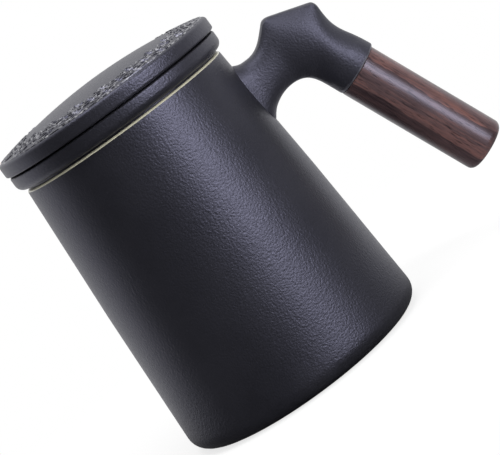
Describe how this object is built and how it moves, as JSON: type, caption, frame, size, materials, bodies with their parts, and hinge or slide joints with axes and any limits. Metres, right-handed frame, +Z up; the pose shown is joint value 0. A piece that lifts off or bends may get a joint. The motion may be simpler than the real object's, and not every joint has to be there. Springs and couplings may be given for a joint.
{
  "type": "lidded tea mug with infuser",
  "caption": "Tapered ceramic tea mug with a lift-off domed lid, a lift-out strainer basket and a ceramic elbow carrying a slanting round wooden grip.",
  "frame": {"origin": "on the cup's axis in the plane of the foot", "axes": "+Z up along the cup's axis, +X towards the handle"},
  "size_m": [0.1396, 0.0872, 0.1161],
  "materials": {
    "cup_glaze": "matte black glaze with a fine orange-peel texture, cream gloss glaze inside and on the lip",
    "elbow_glaze": "matte black glaze with a fine orange-peel texture",
    "infuser_glaze": "matte black glaze",
    "lid_glaze": "matte black glaze with a low relief pattern round the dome",
    "walnut": "oiled dark walnut, grain along the grip",
    "walnut_plug": "oiled dark walnut, face grain",
    "screw_steel": "stainless steel",
    "washer_steel": "stainless steel",
    "sleeve_brass": "turned brass",
    "resin": "cured epoxy"
  },
  "bodies": {
    "cup": {"mug_body": "cup_glaze", "handle_elbow": "elbow_glaze", "wood_grip": "walnut", "grip_plug": "walnut_plug", "grip_screw": "screw_steel", "grip_washer": "washer_steel", "anchor_sleeve": "sleeve_brass", "anchor_resin": "resin"},
    "infuser": {"infuser": "infuser_glaze"},
    "lid": {"lid": "lid_glaze"}
  },
  "joints": [
    {"name": "infuser_lift", "type": "slide", "parent": "cup", "child": "infuser", "axis": [0, 0, 1], "range_m": [0, 0.08]},
    {"name": "lid_lift", "type": "slide", "parent": "infuser", "child": "lid", "axis": [0, 0, 1], "range_m": [0, 0.05]}
  ]
}
